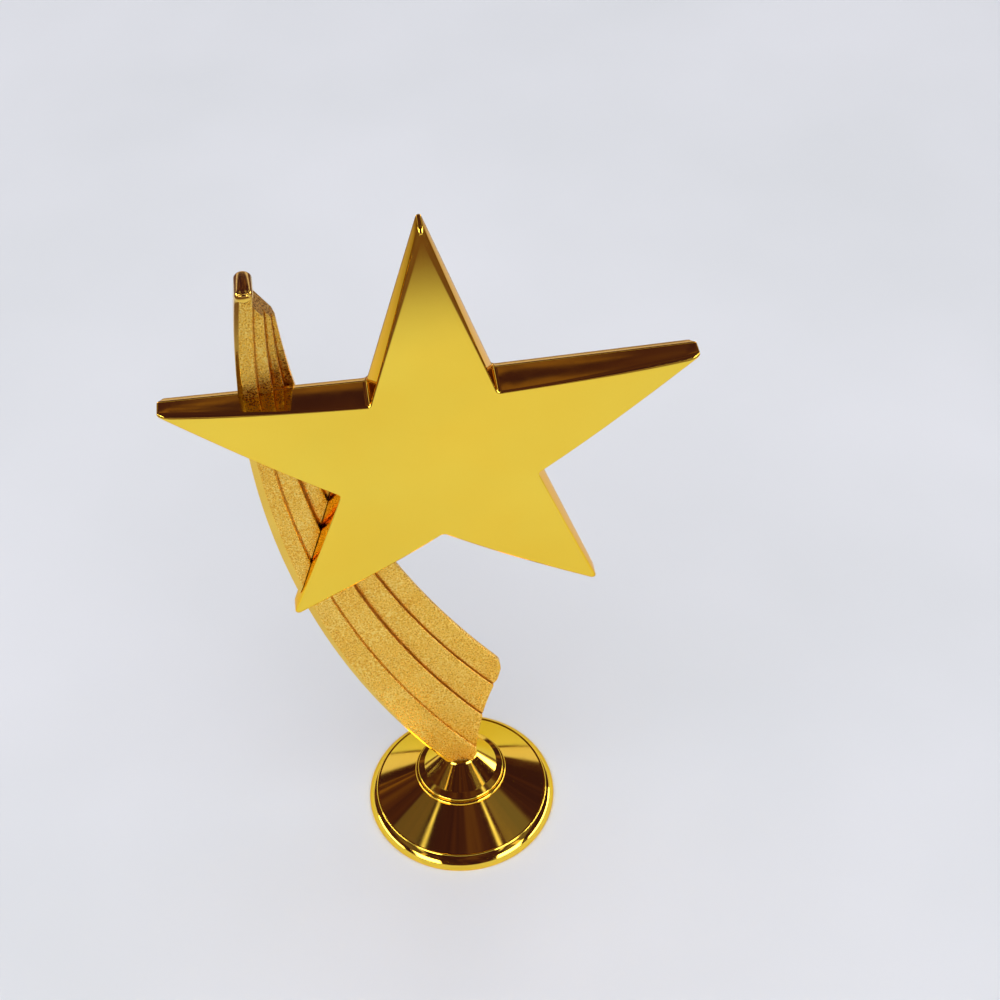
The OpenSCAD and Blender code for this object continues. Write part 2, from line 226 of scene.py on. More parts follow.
def turnedMetal(name, dark, light, metallic, lowRough, highRough, grainSize, bumpDepth):
    # bare metal part: cloudy tone, fine tool grain and uneven shine
    material, tree = startMaterial(name)
    place3d = addNode(tree, "ShaderNodeTexCoord").outputs["Object"]
    grain = addNode(tree, "ShaderNodeTexNoise", inputs={
        "Vector": place3d, "Scale": 1 / (grainSize * mm), "Detail": 4.0, "Roughness": 0.6})
    tone = addNode(tree, "ShaderNodeTexNoise", inputs={
        "Vector": place3d, "Scale": 1 / (4 * mm), "Detail": 2.0, "Roughness": 0.5})
    colour = addNode(tree, "ShaderNodeValToRGB", inputs={"Fac": tone.outputs["Fac"]})
    setRamp(colour, [(0.3, linearColour(dark)), (0.7, linearColour(light))])
    rough = addNode(tree, "ShaderNodeMapRange", inputs={
        "Value": grain.outputs["Fac"], "From Min": 0.3, "From Max": 0.7,
        "To Min": lowRough, "To Max": highRough})
    bump = addNode(tree, "ShaderNodeBump", inputs={
        "Height": grain.outputs["Fac"], "Strength": 0.4, "Distance": bumpDepth * mm})
    shader = addNode(tree, "ShaderNodeBsdfPrincipled", inputs={
        "Base Color": colour.outputs["Color"], "Metallic": metallic, "Roughness": rough.outputs["Result"],
        "Normal": bump.outputs["Normal"]})
    closeMaterial(tree, shader.outputs["BSDF"])
    return material


mirrorGold = goldLacquer()
sandGold = grainedGold()
polishedGold = satinGold("polishedBevelGold", 0.12, 0.22)
plateGold = satinGold("satinPlateGold", 0.2, 0.27)
# darker gold for the groove walls: painted shade in the grooves
grooveShadeGold = turnedMetal("paintedGrooveShade", "#c28c34", "#d29a3e", 1.0, 0.3, 0.5, 0.4, 0.05)
zincSteel = turnedMetal("zincPlatedSteel", "#a7a9ac", "#c9cbce", 1.0, 0.22, 0.4, 0.3, 0.03)
castIron = turnedMetal("sandCastIron", "#4a4846", "#5f5c59", 0.9, 0.5, 0.75, 0.7, 0.2)
turnedBrass = turnedMetal("turnedBrass", "#c9a354", "#dcb868", 1.0, 0.18, 0.34, 0.25, 0.03)
feltFoam = turnedMetal("closedCellFoam", "#2b2b2d", "#3d3d40", 0.0, 0.8, 0.95, 0.5, 0.2)
print("materials made")


cameraView = {
    "place": (-23.7, -292.4, 422.6), "down": 46.21, "turn": -7.02, "roll": -1.16, "lens": 65.9, "sensor": 36}


def makeCamera():
    camera = bpy.data.objects.new("camera", bpy.data.cameras.new("camera"))
    camera.data.lens = cameraView["lens"]
    camera.data.sensor_width = cameraView["sensor"]
    camera.data.clip_start = 0.01
    turn = Matrix.Rotation(math.radians(cameraView["turn"]), 4, "Z")
    tip = Matrix.Rotation(math.radians(90 - cameraView["down"]), 4, "X")
    roll = Matrix.Rotation(math.radians(cameraView["roll"]), 4, "Z")
    camera.matrix_world = Matrix.Translation(Vector(cameraView["place"]) * mm) @ turn @ tip @ roll
    bpy.context.scene.collection.objects.link(camera)
    bpy.context.scene.camera = camera


lamps = {
    "ceiling": {
        "at": (-0.1, -0.5, 2.2), "aim": (0, -0.4, 0), "size": (4.0, 4.0), "power": 104,
        "colour": "#f4f8ff", "inGloss": False},
    "frontBoxLeft": {
        "at": (-0.5, -0.42, 0.36), "aim": (0, 0, 0.05), "size": (0.05, 0.3), "power": 0.035,
        "colour": "#ffd9a8", "inGloss": True},
    "frontBoxRight": {
        "at": (0.52, -0.36, 0.4), "aim": (0, 0, 0.05), "size": (0.08, 0.3), "power": 0.06,
        "colour": "#ffe2ba", "inGloss": True}}


def areaLight(name, lamp):
    data = bpy.data.lights.new(name, "AREA")
    data.shape = "RECTANGLE"
    data.size, data.size_y = lamp["size"]
    data.energy = lamp["power"]
    data.color = linearColour(lamp["colour"])[:3]
    light = bpy.data.objects.new(name, data)
    light.location = lamp["at"]
    light.rotation_euler = (Vector(lamp["aim"]) - Vector(lamp["at"])).to_track_quat("-Z", "Y").to_euler()
    light.visible_glossy = lamp["inGloss"]
    light.visible_camera = False
    bpy.context.scene.collection.objects.link(light)


# the room as the mirror gold shows it; heights and sideways places are parts of a unit direction
room = {
    "backdrop": "#dcdbe3", "pale": (0.78, 0.7, 1.0, 1), "paleTop": (0.33, 0.37), "paleWave": (3.0, 0.12),
    "sideLift": 0.25, "paleBack": (-0.25, 0.15), "paleLow": (0.0, 0.08),
    "dim": (
        (0.42, (0.036, 0.012, 0.05, 1)), (0.54, (0.062, 0.021, 0.055, 1)), (0.64, (0.1, 0.042, 0.06, 1))),
    "streak": (4.0, 4.0, 0.5), "streakScale": 1.3,
    "patch": (0.4, 0.2, 0.1, 1), "patchScale": 9.0, "patchLevel": (0.54, 0.62),
    "patchBack": (0.5, 0.62, 0.45),
    "boxLight": (7.0, 6.6, 7.0, 1), "boxEdge": 0.02,
    # soft boxes and dimmer strips in front: left, right, lower and upper edge, reach to the back, strength
    "boxes": (
        (-0.8, -0.48, 0.06, 0.4, 0.0, 1.0), (0.46, 0.8, 0.06, 0.4, 0.0, 1.0),
        (0.9, 1.1, 0.03, 0.16, 0.42, 1.0), (-1.1, -0.93, 0.03, 0.16, 0.3, 1.0),
        (0.42, 0.46, 0.7, 0.95, 0.1, 0.18), (-0.6, -0.56, 0.7, 0.95, 0.1, 0.14),
        (0.52, 0.8, 0.42, 0.86, 0.1, 0.017), (-0.85, -0.64, 0.42, 0.86, 0.1, 0.011))}


def ease(tree, value, start, end, first, last):
    # smooth change from first to last while the value goes from start to end
    eased = addNode(tree, "ShaderNodeMapRange", {"interpolation_type": "SMOOTHSTEP"}, {
        "Value": value, "From Min": start, "From Max": end, "To Min": first, "To Max": last})
    return eased.outputs["Result"]


def makeWorld():
    # pale behind and near the horizon, dim and warm overhead and in front, with soft upright streaks
    world = bpy.data.worlds.new("studio")
    world.use_nodes = True
    tree = world.node_tree
    tree.nodes.clear()
    heading = addNode(tree, "ShaderNodeTexCoord").outputs["Generated"]
    parts = addNode(tree, "ShaderNodeSeparateXYZ", inputs={"Vector": heading})
    toSide = addNode(tree, "ShaderNodeMath", {"operation": "ABSOLUTE"}, {0: parts.outputs["X"]})
    waveScale, waveHeight = room["paleWave"]
    wave = addNode(tree, "ShaderNodeTexNoise", inputs={"Vector": heading, "Scale": waveScale, "Detail": 2.0})
    waved = addNode(tree, "ShaderNodeMath", {"operation": "MULTIPLY_ADD"}, {
        0: wave.outputs["Fac"], 1: waveHeight, 2: parts.outputs["Z"]})
    height = addNode(tree, "ShaderNodeMath", {"operation": "MULTIPLY_ADD"}, {
        0: toSide.outputs["Value"], 1: room["sideLift"], 2: waved.outputs["Value"]})
    low = ease(tree, height.outputs["Value"], *room["paleTop"], 1.0, 0.0)
    behind = ease(tree, parts.outputs["Y"], *room["paleBack"], 0.0, 1.0)
    below = addNode(tree, "ShaderNodeMapRange", inputs={
        "Value": parts.outputs["Z"], "From Min": room["paleLow"][0], "From Max": room["paleLow"][1],
        "To Min": 1.0, "To Max": 0.0})
    either = addNode(tree, "ShaderNodeMath", {"operation": "MAXIMUM"}, {
        0: behind, 1: below.outputs["Result"]})
    bright = addNode(tree, "ShaderNodeMath", {"operation": "MULTIPLY"}, {0: low, 1: either.outputs["Value"]})
    stretched = addNode(tree, "ShaderNodeMapping", inputs={"Vector": heading, "Scale": room["streak"]})
    streaks = addNode(tree, "ShaderNodeTexNoise", inputs={
        "Vector": stretched.outputs["Vector"], "Scale": room["streakScale"],
        "Detail": 3.0, "Roughness": 0.6})
    dim = addNode(tree, "ShaderNodeValToRGB", inputs={"Fac": streaks.outputs["Fac"]})
    setRamp(dim, room["dim"])
    patches = addNode(tree, "ShaderNodeTexNoise", inputs={
        "Vector": heading, "Scale": room["patchScale"], "Detail": 2.0})
    patched = ease(tree, patches.outputs["Fac"], *room["patchLevel"], 0.0, 1.0)
    backStart, backEnd, backMost = room["patchBack"]
    inBack = ease(tree, parts.outputs["Y"], backStart, backEnd, 0.0, backMost)
    spots = addNode(tree, "ShaderNodeMath", {"operation": "MULTIPLY"}, {0: patched, 1: inBack})
    spotted = addNode(tree, "ShaderNodeMix", {"data_type": "RGBA"}, {
        0: spots.outputs["Value"], 6: dim.outputs["Color"], 7: room["patch"]})
    mixed = addNode(tree, "ShaderNodeMix", {"data_type": "RGBA"}, {
        0: bright.outputs["Value"], 6: spotted.outputs[2], 7: room["pale"]})
    boxes = 0.0
    blur = room["boxEdge"]
    for left, right, lower, upper, back, glow in room["boxes"]:
        box = glow
        limits = (
            ("X", left, 0.0), ("X", right, 1.0), ("Z", lower, 0.0), ("Z", upper, 1.0), ("Y", back, 1.0))
        for axis, edge, first in limits:
            side = ease(tree, parts.outputs[axis], edge - blur, edge + blur, first, 1.0 - first)
            inside = addNode(tree, "ShaderNodeMath", {"operation": "MULTIPLY"}, {0: box, 1: side})
            box = inside.outputs["Value"]
        brighter = addNode(tree, "ShaderNodeMath", {"operation": "MAXIMUM"}, {0: boxes, 1: box})
        boxes = brighter.outputs["Value"]
    path = addNode(tree, "ShaderNodeLightPath")
    mirrored = addNode(tree, "ShaderNodeMath", {"operation": "MULTIPLY"}, {
        0: boxes, 1: path.outputs["Is Glossy Ray"]})
    lit = addNode(tree, "ShaderNodeMix", {"data_type": "RGBA"}, {
        0: mirrored.outputs["Value"], 6: mixed.outputs[2], 7: room["boxLight"]})
    background = addNode(tree, "ShaderNodeBackground", inputs={"Color": lit.outputs[2], "Strength": 1.0})
    plain = addNode(tree, "ShaderNodeBackground", inputs={
        "Color": linearColour(room["backdrop"]), "Strength": 1.0})
    seen = addNode(tree, "ShaderNodeMixShader", inputs={
        0: path.outputs["Is Camera Ray"], 1: background.outputs["Background"],
        2: plain.outputs["Background"]})
    addNode(tree, "ShaderNodeOutputWorld", inputs={"Surface": seen.outputs["Shader"]})
    bpy.context.scene.world = world


# distances in metres: where the mirror gold sees the table go dark, and where it fades into the backdrop
table = {
    "reach": 4000, "tones": ("#dde0dd", "#e6e8e6"), "cloud": 160, "rough": 0.85, "shine": 0.1,
    "sideStretch": 1.35, "darkFrom": 0.25, "darkTo": 0.5, "darkMost": 0.94, "dark": (0.1, 0.02, 0.014, 1),
    "fadeFrom": 1.0, "fadeTo": 2.4}


def makeFloor():
    reach = table["reach"]
    corners = [(-reach, -reach, 0), (reach, -reach, 0), (reach, reach, 0), (-reach, reach, 0)]
    floor = meshObject("floor", corners, [(0, 1, 2, 3)])
    material, tree = startMaterial("paleTable")
    place3d = addNode(tree, "ShaderNodeTexCoord").outputs["Object"]
    cloud = addNode(tree, "ShaderNodeTexNoise", inputs={
        "Vector": place3d, "Scale": 1 / (table["cloud"] * mm), "Detail": 3.0, "Roughness": 0.5})
    colour = addNode(tree, "ShaderNodeValToRGB", inputs={"Fac": cloud.outputs["Fac"]})
    setRamp(colour, [(level, linearColour(tone)) for level, tone in zip((0.3, 0.7), table["tones"])])
    spread = addNode(tree, "ShaderNodeMapping", inputs={
        "Vector": place3d, "Scale": (table["sideStretch"], 1.0, 1.0)})
    far = addNode(tree, "ShaderNodeVectorMath", {"operation": "LENGTH"}, {0: spread.outputs["Vector"]})
    beyond = ease(tree, far.outputs["Value"], table["darkFrom"], table["darkTo"], 0.0, table["darkMost"])
    path = addNode(tree, "ShaderNodeLightPath")
    mirrored = addNode(tree, "ShaderNodeMath", {"operation": "MULTIPLY"}, {
        0: beyond, 1: path.outputs["Is Glossy Ray"]})
    toned = addNode(tree, "ShaderNodeMix", {"data_type": "RGBA"}, {
        0: mirrored.outputs["Value"], 6: colour.outputs["Color"], 7: table["dark"]})
    shader = addNode(tree, "ShaderNodeBsdfPrincipled", inputs={
        "Base Color": toned.outputs[2], "Roughness": table["rough"], "Specular IOR Level": table["shine"]})
    fade = ease(tree, far.outputs["Value"], table["fadeFrom"], table["fadeTo"], 0.0, 1.0)
    faded = addNode(tree, "ShaderNodeMath", {"operation": "MULTIPLY"}, {
        0: fade, 1: path.outputs["Is Camera Ray"]})
    backdrop = addNode(tree, "ShaderNodeEmission", inputs={
        "Color": linearColour(room["backdrop"]), "Strength": 1.0})
    joined = addNode(tree, "ShaderNodeMixShader", inputs={
        0: faded.outputs["Value"], 1: shader.outputs["BSDF"], 2: backdrop.outputs["Emission"]})
    closeMaterial(tree, joined.outputs["Shader"])
    floor.data.materials.append(material)


makeCamera()
makeWorld()
makeFloor()
for lampName, lamp in lamps.items():
    areaLight(lampName, lamp)
bpy.context.scene.view_settings.view_transform = "Standard"
print("camera, lights and floor placed")


starFront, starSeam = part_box("star_front")[0].y / mm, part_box("star_front")[1].y / mm
star = {
    "x": -2, "z": 136, "reach": 63.5, "waist": 0.37, "turn": 0.7, "dome": 5, "wall": 1.8,
    "tipRound": 0.6, "cornerRound": 1.2, "frontY": starFront, "seamY": starSeam,
    "backY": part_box("star_back")[1].y / mm, "draft": 0.4,
    "edgeRound": (0.5, 1.1), "roundZone": (26, 60), "roundSteps": 8,  # rounder towards the points
    "faceRings": (0, 0.1, 0.22, 0.35, 0.48, 0.6, 0.72, 0.83, 0.91, 0.965, 0.99),
    "insideRings": (0.95, 0.7, 0.4, 0),
    # the joint between shell and plate: distance from it, and how far in
    "shellSeam": ((1.4, 0), (0.3, 0), (0.22, 0), (0.07, 0.06), (0, 0.22)),
    "plateSeam": ((0, 0.24), (0.06, 0.08), (0.2, 0.02), (0.3, 0.05)),
    "backRound": 0.5, "backSteps": 6, "lip": (1.95, 3.6, 1.2), "lipRounds": ((0.3, 2.2), (0.2, 3.4))}


def armOutline(inset, tip, corner, edgeSteps=16, arcSteps=6):
    # half an arm's outline from its point down to the inner corner, then mirrored
    reach = star["reach"]
    c = Vector((math.sin(math.radians(36)), math.cos(math.radians(36)))) * reach * star["waist"]
    edge = (Vector((0, reach)) - c).normalized()
    away = c.normalized()
    share = 1 - inset / (reach * c.x / (Vector((0, reach)) - c).length)
    half = math.atan2(c.x, reach - c.y)
    notch = math.acos(edge.dot(away))
    tipMiddle = reach * share - tip / math.sin(half)
    cornerMiddle = c * share + away * corner / math.sin(notch)
    points = []
    for i in range(arcSteps + 1):
        a = (math.pi / 2 - half) * i / arcSteps
        points.append(Vector((tip * math.sin(a), tipMiddle + tip * math.cos(a))))
    cornerArc = []
    for i in range(arcSteps + 1):
        a = math.atan2(-away.y, -away.x) + (math.pi / 2 - notch) * i / arcSteps
        cornerArc.append(cornerMiddle + corner * Vector((math.cos(a), math.sin(a))))
    if (cornerArc[-1] - points[-1]).length > (cornerArc[0] - points[-1]).length:
        cornerArc = []
        for i in range(arcSteps + 1):
            a = math.atan2(-away.y, -away.x) - (math.pi / 2 - notch) * i / arcSteps
            cornerArc.append(cornerMiddle + corner * Vector((math.cos(a), math.sin(a))))
    start, end = points[-1], cornerArc[-1]
    points += [start.lerp(end, i / edgeSteps) for i in range(1, edgeSteps)]
    points += list(reversed(cornerArc))
    return [Vector((-p.x, p.y)) for p in reversed(points[1:])] + points


def domeY(p):
    radius = (star["reach"] ** 2 + star["dome"] ** 2) / (2 * star["dome"])
    return star["frontY"] + radius - math.sqrt(radius ** 2 - p.length_squared)


def gridFaces(rows, columns):
    return [(r * columns + c, r * columns + c + 1, (r + 1) * columns + c + 1, (r + 1) * columns + c)
            for r in range(rows - 1) for c in range(columns - 1)]


def frontArm():
    base = armOutline(0, star["tipRound"], star["cornerRound"])
    inner = armOutline(1, star["tipRound"] - 0.4, star["cornerRound"] + 1)
    wall = armOutline(star["wall"], 0.3, star["cornerRound"] + star["wall"])
    step = [b - a for a, b in zip(base, inner)]
    low, high = star["edgeRound"]
    rounding = [low + (high - low) * smoothStep(*star["roundZone"], p.length) for p in base]
    rows = []
    for share in star["faceRings"]:
        row = [(a + d * r) * share for a, d, r in zip(base, step, rounding)]
        rows.append([(p.x, domeY(p), p.y) for p in row])
    for i in range(star["roundSteps"] + 1):
        a = math.radians(90 - 90 * i / star["roundSteps"])
        row = [p + d * (r * (1 - math.cos(a))) for p, d, r in zip(base, step, rounding)]
        rows.append([(p.x, domeY(p) + r * (1 - math.sin(a)), p.y) for p, r in zip(row, rounding)])
    seam = star["seamY"]
    for short, inset in star["shellSeam"]:
        rows.append([((a + d * inset).x, seam - short, (a + d * inset).y) for a, d in zip(base, step)])
    rows.append([(p.x, seam, p.y) for p in wall])
    rows.append([(p.x, domeY(p) + star["wall"], p.y) for p in wall])
    for share in star["insideRings"]:
        rows.append([(p.x * share, domeY(p * share) + star["wall"], p.y * share) for p in wall])
    return [v for row in rows for v in row], gridFaces(len(rows), len(base))


def backArm():
    base = armOutline(0, star["tipRound"], star["cornerRound"])
    inner = armOutline(1, star["tipRound"] - 0.3, star["cornerRound"] + 1)
    step = [b - a for a, b in zip(base, inner)]
    lipOut, lipIn, lipDeep = star["lip"]
    seam, back, draft = star["seamY"], star["backY"], star["draft"]
    outer = armOutline(lipOut, *star["lipRounds"][0])
    inside = armOutline(lipIn, *star["lipRounds"][1])
    rows = [[(p.x * s, seam, p.y * s) for p in inside] for s in (0, 0.5, 1)]
    rows.append([(p.x, seam - lipDeep, p.y) for p in inside])
    rows.append([(p.x, seam - lipDeep, p.y) for p in outer])
    rows.append([(p.x, seam, p.y) for p in outer])

    def ring(inset, y):
        rows.append([((a + d * inset).x, y, (a + d * inset).y) for a, d in zip(base, step)])

    for past, inset in star["plateSeam"]:
        ring(inset, seam + past)
    r = star["backRound"]
    ring(draft, back - r - 0.05)
    for i in range(1, star["backSteps"] + 1):
        a = math.radians(90 * i / star["backSteps"])
        ring(draft + r * (1 - math.cos(a)), back - r + r * math.sin(a))
    ring(draft + r + 0.1, back)
    last = rows[-1]
    for share in (0.7, 0.35, 0):
        rows.append([(x * share, back, z * share) for x, y, z in last])
    return [v for row in rows for v in row], gridFaces(len(rows), len(base))


def repeatTree(name, material):
    # turns one arm round the star's middle, joins the copies and moves them into place
    tree = bpy.data.node_groups.new(name, "GeometryNodeTree")
    face = tree.interface
    face.new_socket("Geometry", in_out="INPUT", socket_type="NodeSocketGeometry")
    sockets = {
        "Count": face.new_socket("Count", in_out="INPUT", socket_type="NodeSocketInt"),
        "Turn": face.new_socket("Turn", in_out="INPUT", socket_type="NodeSocketFloat"),
        "Middle": face.new_socket("Middle", in_out="INPUT", socket_type="NodeSocketVector"),
        "Weld": face.new_socket("Weld", in_out="INPUT", socket_type="NodeSocketFloat")}
    face.new_socket("Geometry", in_out="OUTPUT", socket_type="NodeSocketGeometry")
    start = addNode(tree, "NodeGroupInput")
    points = addNode(tree, "GeometryNodePoints", inputs={"Count": start.outputs["Count"]})
    index = addNode(tree, "GeometryNodeInputIndex")
    share = addNode(tree, "ShaderNodeMath", {"operation": "DIVIDE"}, {
        0: index.outputs[0], 1: start.outputs["Count"]})
    full = addNode(tree, "ShaderNodeMath", {"operation": "MULTIPLY"}, {0: share.outputs[0], 1: math.tau})
    turned = addNode(tree, "ShaderNodeMath", {"operation": "SUBTRACT"}, {
        0: full.outputs[0], 1: start.outputs["Turn"]})
    angles = addNode(tree, "ShaderNodeCombineXYZ", inputs={"Y": turned.outputs[0]})
    rotation = addNode(tree, "FunctionNodeEulerToRotation", inputs={0: angles.outputs[0]})
    copies = addNode(tree, "GeometryNodeInstanceOnPoints", inputs={
        "Points": points.outputs[0], "Instance": start.outputs["Geometry"], "Rotation": rotation.outputs[0]})
    moved = addNode(tree, "GeometryNodeTransform", inputs={
        "Geometry": copies.outputs[0], "Translation": start.outputs["Middle"]})
    real = addNode(tree, "GeometryNodeRealizeInstances", inputs={"Geometry": moved.outputs[0]})
    joined = addNode(tree, "GeometryNodeMergeByDistance", inputs={
        "Geometry": real.outputs[0], "Distance": start.outputs["Weld"]})
    painted = addNode(tree, "GeometryNodeSetMaterial", inputs={
        "Geometry": joined.outputs[0], "Material": material})
    addNode(tree, "NodeGroupOutput", inputs={0: painted.outputs[0]})
    return tree, sockets


def runTree(piece, tree, sockets, values):
    step = piece.modifiers.new(tree.name, "NODES")
    step.node_group = tree
    for name, value in values.items():
        step[sockets[name].identifier] = value
    return applyModifiers(piece)


def makeStar():
    for name, arm, material, slot, node in (
            ("starFace", frontArm, mirrorGold, "mirror_gold", "star_front"),
            ("starPlate", backArm, plateGold, "satin_gold", "star_back")):
        piece = meshObject(name, *arm(), materials=[material])
        tree, sockets = repeatTree(name + "Arms", material)
        runTree(piece, tree, sockets, {
            "Count": 5, "Turn": math.radians(star["turn"]),
            "Middle": (star["x"] * mm, 0.0, star["z"] * mm), "Weld": joinWithin})
        weld(piece)
        smoothShade(piece)
        place(piece, node, slot)


makeStar()
print("star made")


foot = {
    "rim": (23.1, 0.7, 2.3), "rimArc": (-17.7, 22, 16), "rimSlope": (21.075, -0.159, 4.5),
    "slopeArc": (24, 60, 18), "rimBead": (22.95, 3.85, 0.25), "beadArc": (10, 125, 10),
    "coneLow": (22.8, 3.95), "coneTop": (12.1, 11.2),
    "collar": (11.65, 11.7, 0.65), "collarArc": (-45, 160, 24),
    "seat": (10.9, 11.0), "bore": 1.8, "pad": (21.85, 1.3),
    "inside": [(5.5, 6.6), (5.5, 9.4), (11.9, 9.4), (20.9, 3.3), (20.9, 1.3)], "segments": 192}
neck = {
    "seat": 11.0, "flange": 10.75, "ring": (11.05, 12.75, 0.5), "ringArc": (-90, 65, 20),
    "low": (9.8, 13.88), "top": (4.4, 19.6), "topRound": 0.25, "topArc": (25, 90, 4),
    "socket": (3.35, 13.0), "bore": 1.8, "segments": 160}


def straight(a, b, steps=6):
    # points between two corners, closer together near both ends to keep reflections clean
    shares = [0.02, 0.06] + [0.06 + 0.88 * i / steps for i in range(1, steps)] + [0.94, 0.98]
    return [(a[0] + (b[0] - a[0]) * s, a[1] + (b[1] - a[1]) * s) for s in shares]


def footProfile():
    padR, padZ = foot["pad"]
    seatR, seatZ = foot["seat"]
    path = [(padR, 0.0)]
    path += arc(*foot["rim"], *foot["rimArc"])
    path += arc(*foot["rimSlope"], *foot["slopeArc"])
    path += arc(*foot["rimBead"], *foot["beadArc"])
    path += [foot["coneLow"]] + straight(foot["coneLow"], foot["coneTop"], 10) + [foot["coneTop"]]
    path += arc(*foot["collar"], *foot["collarArc"])
    path += [(seatR, foot["collar"][1]), (seatR, seatZ + 0.02), (seatR - 0.02, seatZ)]
    path += [(foot["bore"], seatZ), (foot["bore"], foot["inside"][0][1])]
    path += foot["inside"] + [(padR, padZ), (padR, 0.0)]
    return path


def neckProfile():
    seat, flange, bore = neck["seat"], neck["flange"], neck["bore"]
    topR, topZ = neck["top"]
    socketR, socketZ = neck["socket"]
    r = neck["topRound"]
    path = [(bore, seat), (flange - 0.1, seat), (flange, seat + 0.1)]
    path += [(flange, neck["ring"][1] - neck["ring"][2] - 0.02)]
    path += arc(*neck["ring"], *neck["ringArc"])
    path += straight(path[-1], neck["low"], 4)
    path += [neck["low"]] + straight(neck["low"], (topR, topZ - r), 10)
    path += arc(topR - r, topZ - r, r, *neck["topArc"])
    path += [(socketR, topZ), (socketR, socketZ), (bore, socketZ), (bore, seat)]
    return path


def lathe(name, path, segments, material):
    # the profile is the object's own edge line; the tree spreads a grid over it and round the axis
    mesh = bpy.data.meshes.new(name)
    mesh.from_pydata([(x * mm, 0, z * mm) for x, z in path], [(i, i + 1) for i in range(len(path) - 1)], [])
    piece = bpy.data.objects.new(name, mesh)
    bpy.context.scene.collection.objects.link(piece)
    tree = bpy.data.node_groups.new(name + "Lathe", "GeometryNodeTree")
    face = tree.interface
    face.new_socket("Geometry", in_out="INPUT", socket_type="NodeSocketGeometry")
    sockets = {
        "Segments": face.new_socket("Segments", in_out="INPUT", socket_type="NodeSocketInt"),
        "Rows": face.new_socket("Rows", in_out="INPUT", socket_type="NodeSocketInt"),
        "Weld": face.new_socket("Weld", in_out="INPUT", socket_type="NodeSocketFloat")}
    face.new_socket("Geometry", in_out="OUTPUT", socket_type="NodeSocketGeometry")
    start = addNode(tree, "NodeGroupInput")
    columns = addNode(tree, "ShaderNodeMath", {"operation": "ADD"}, {0: start.outputs["Segments"], 1: 1.0})
    grid = addNode(tree, "GeometryNodeMeshGrid", inputs={
        "Vertices X": columns.outputs[0], "Vertices Y": start.outputs["Rows"]})
    index = addNode(tree, "GeometryNodeInputIndex")
    column = addNode(tree, "ShaderNodeMath", {"operation": "DIVIDE"}, {
        0: index.outputs[0], 1: start.outputs["Rows"]})
    whole = addNode(tree, "ShaderNodeMath", {"operation": "FLOOR"}, {0: column.outputs[0]})
    row = addNode(tree, "ShaderNodeMath", {"operation": "MODULO"}, {
        0: index.outputs[0], 1: start.outputs["Rows"]})
    turn = addNode(tree, "ShaderNodeMath", {"operation": "DIVIDE"}, {
        0: whole.outputs[0], 1: start.outputs["Segments"]})
    angle = addNode(tree, "ShaderNodeMath", {"operation": "MULTIPLY"}, {0: turn.outputs[0], 1: math.tau})
    where = addNode(tree, "GeometryNodeInputPosition")
    sample = addNode(tree, "GeometryNodeSampleIndex", {"data_type": "FLOAT_VECTOR", "domain": "POINT"}, {
        "Geometry": start.outputs["Geometry"], "Value": where.outputs[0], "Index": row.outputs[0]})
    axis = addNode(tree, "ShaderNodeCombineXYZ", inputs={"Z": 1.0})
    turned = addNode(tree, "ShaderNodeVectorRotate", {"rotation_type": "AXIS_ANGLE"}, {
        "Vector": sample.outputs[0], "Axis": axis.outputs[0], "Angle": angle.outputs[0]})
    shaped = addNode(tree, "GeometryNodeSetPosition", inputs={
        "Geometry": grid.outputs[0], "Position": turned.outputs[0]})
    closed = addNode(tree, "GeometryNodeMergeByDistance", inputs={
        "Geometry": shaped.outputs[0], "Distance": start.outputs["Weld"]})
    real = addNode(tree, "GeometryNodeRealizeInstances", inputs={"Geometry": closed.outputs[0]})
    painted = addNode(tree, "GeometryNodeSetMaterial", inputs={
        "Geometry": real.outputs[0], "Material": material})
    addNode(tree, "NodeGroupOutput", inputs={0: painted.outputs[0]})
    runTree(piece, tree, sockets, {"Segments": segments, "Rows": len(path), "Weld": joinWithin})
    weld(piece)
    smoothShade(piece)
    return piece


place(lathe("footShell", footProfile(), foot["segments"], mirrorGold), "foot", "mirror_gold")
place(lathe("neckCone", neckProfile(), neck["segments"], mirrorGold), "neck", "mirror_gold")
print("foot and neck made")


